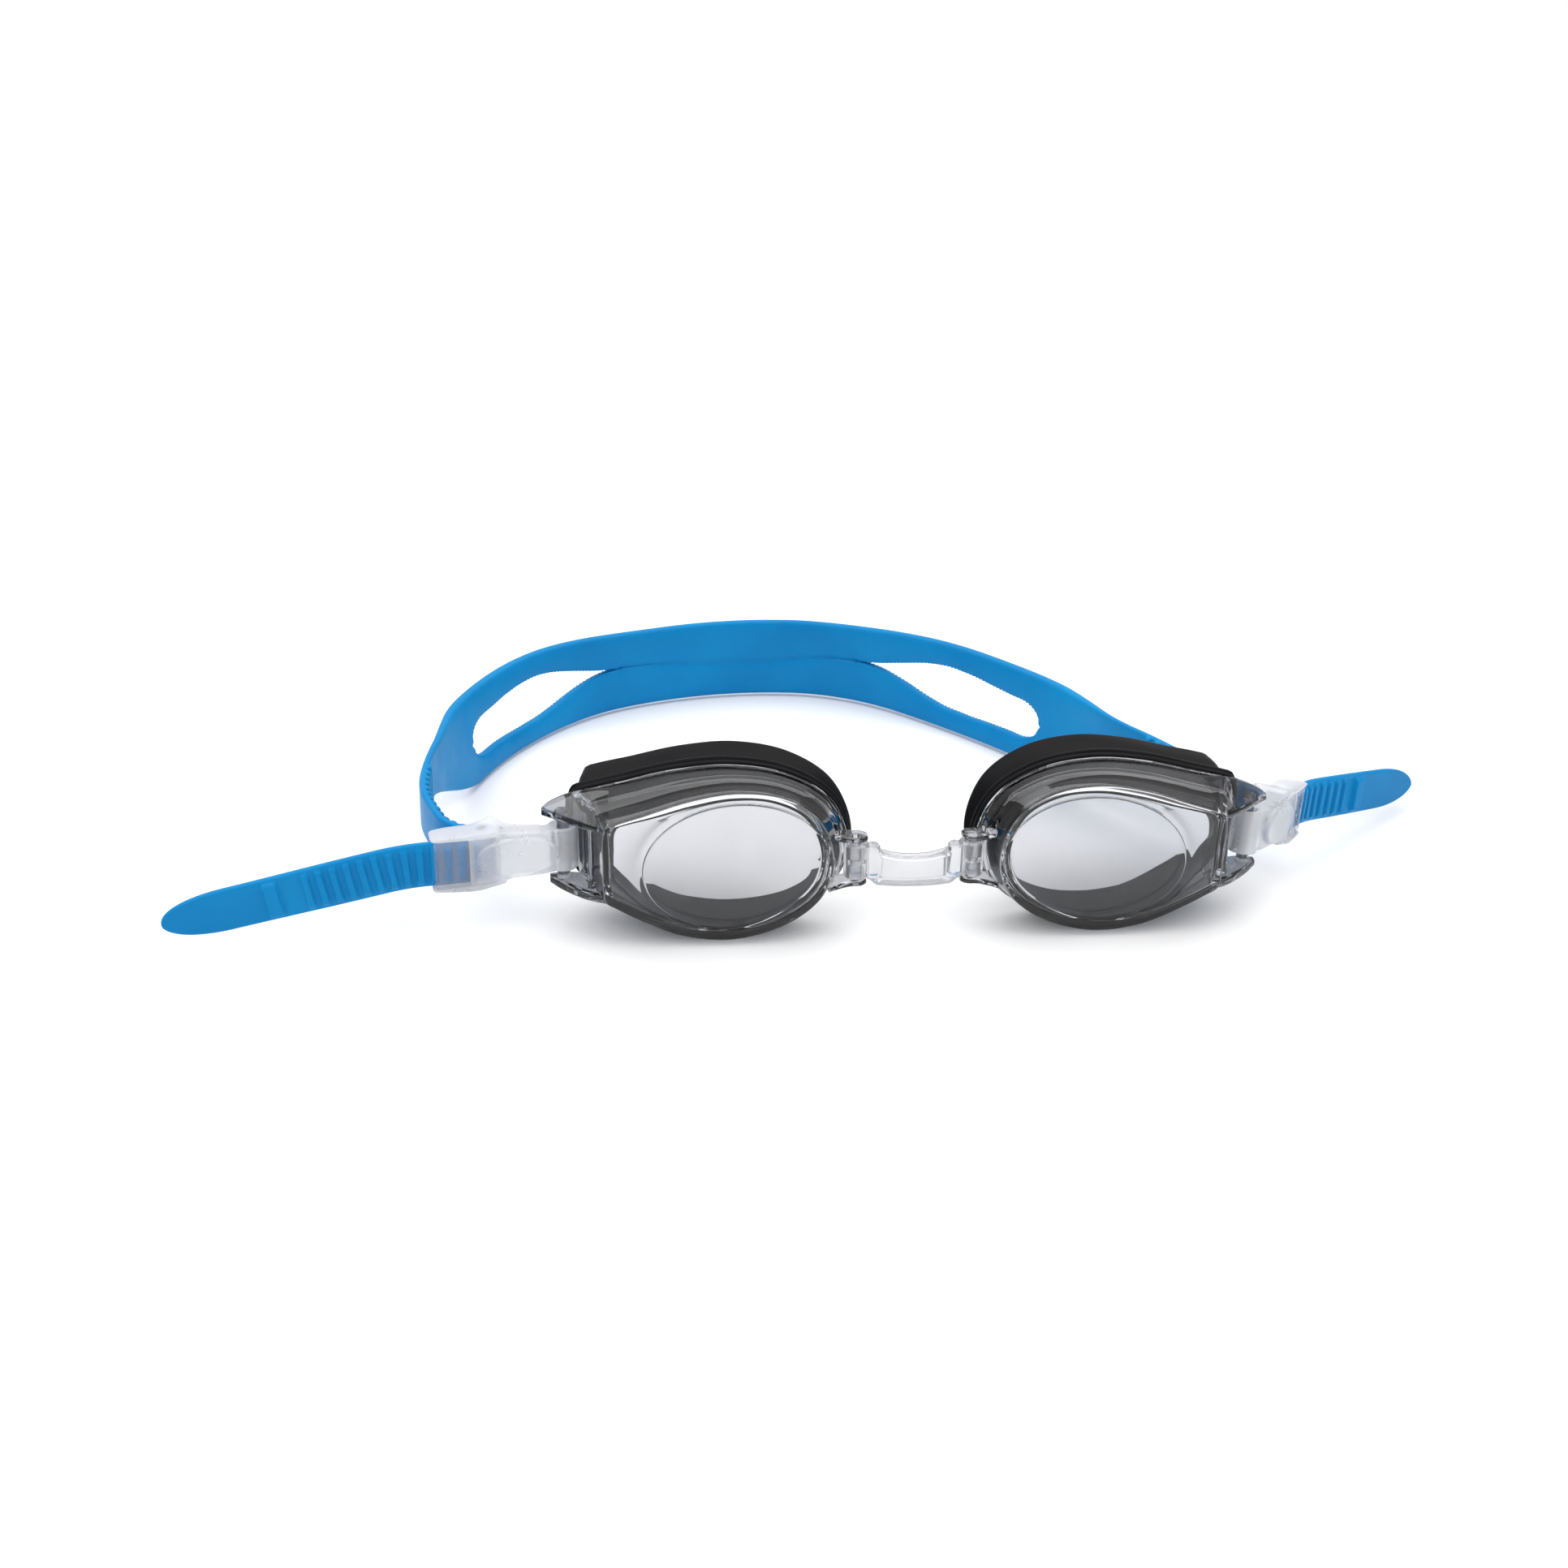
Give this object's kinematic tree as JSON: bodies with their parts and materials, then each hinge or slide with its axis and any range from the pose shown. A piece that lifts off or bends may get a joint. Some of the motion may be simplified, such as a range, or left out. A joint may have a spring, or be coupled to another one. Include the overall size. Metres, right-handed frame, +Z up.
{
  "type": "swim goggles",
  "caption": "Swim goggles with two clear lens cups, dark face gaskets, a nose bridge, strap clips and a flat strap with a split rear band.",
  "frame": {"origin": "under the middle of the bounding box, on the surface that the goggles stand on", "axes": "+X along the length, towards the wearer's left; +Y from the lenses back to the head; +Z up"},
  "size_m": [0.2936, 0.141, 0.0383],
  "materials": {
    "smoke_polycarbonate": "gloss",
    "black_silicone": "matte",
    "clear_polyurethane": "gloss",
    "milky_plastic": "satin",
    "blue_silicone": "satin"
  },
  "bodies": {
    "frame": {"nose_bridge": "clear_polyurethane", "strap_rear": "blue_silicone", "left_strap_run": "blue_silicone", "right_strap_run": "blue_silicone"},
    "left_cup": {"left_lens_cup": "smoke_polycarbonate", "left_gasket": "black_silicone"},
    "left_clip": {"left_strap_clip": "milky_plastic", "left_strap_fold": "blue_silicone"},
    "left_tail": {"left_strap_tail": "blue_silicone"},
    "right_cup": {"right_lens_cup": "smoke_polycarbonate", "right_gasket": "black_silicone"},
    "right_clip": {"right_strap_clip": "milky_plastic", "right_strap_fold": "blue_silicone"},
    "right_tail": {"right_strap_tail": "blue_silicone"}
  },
  "joints": [
    {"name": "left_nose_flex", "type": "hinge", "parent": "frame", "child": "left_cup", "pos_m": [0.00115, -0.06546, 0.01929], "axis": [0, 0, 1], "range_deg": [-8, 8], "stiffness_Nm_per_rad": 0.05, "deforming": ["left_strap_run"]},
    {"name": "left_clip_swivel", "type": "hinge", "parent": "left_cup", "child": "left_clip", "pos_m": [-0.06185, -0.05716, 0.01899], "axis": [0, 0, 1], "range_deg": [-20, 20], "stiffness_Nm_per_rad": 0.01, "deforming": ["left_strap_run"]},
    {"name": "left_tail_pull", "type": "slide", "parent": "left_clip", "child": "left_tail", "axis": [-0.9854, -0.1702, -0.0087], "range_m": [0, 0.008]},
    {"name": "right_nose_flex", "type": "hinge", "parent": "frame", "child": "right_cup", "pos_m": [0.02635, -0.06546, 0.01929], "axis": [0, 0, 1], "range_deg": [-8, 8], "stiffness_Nm_per_rad": 0.05, "deforming": ["right_strap_run"]},
    {"name": "right_clip_swivel", "type": "hinge", "parent": "right_cup", "child": "right_clip", "pos_m": [0.08935, -0.05716, 0.01899], "axis": [0, 0, 1], "range_deg": [-20, 20], "stiffness_Nm_per_rad": 0.01, "deforming": ["right_strap_run"]},
    {"name": "right_tail_pull", "type": "slide", "parent": "right_clip", "child": "right_tail", "axis": [0.5789, 0.7967, -0.1736], "range_m": [0, 0.008]}
  ]
}
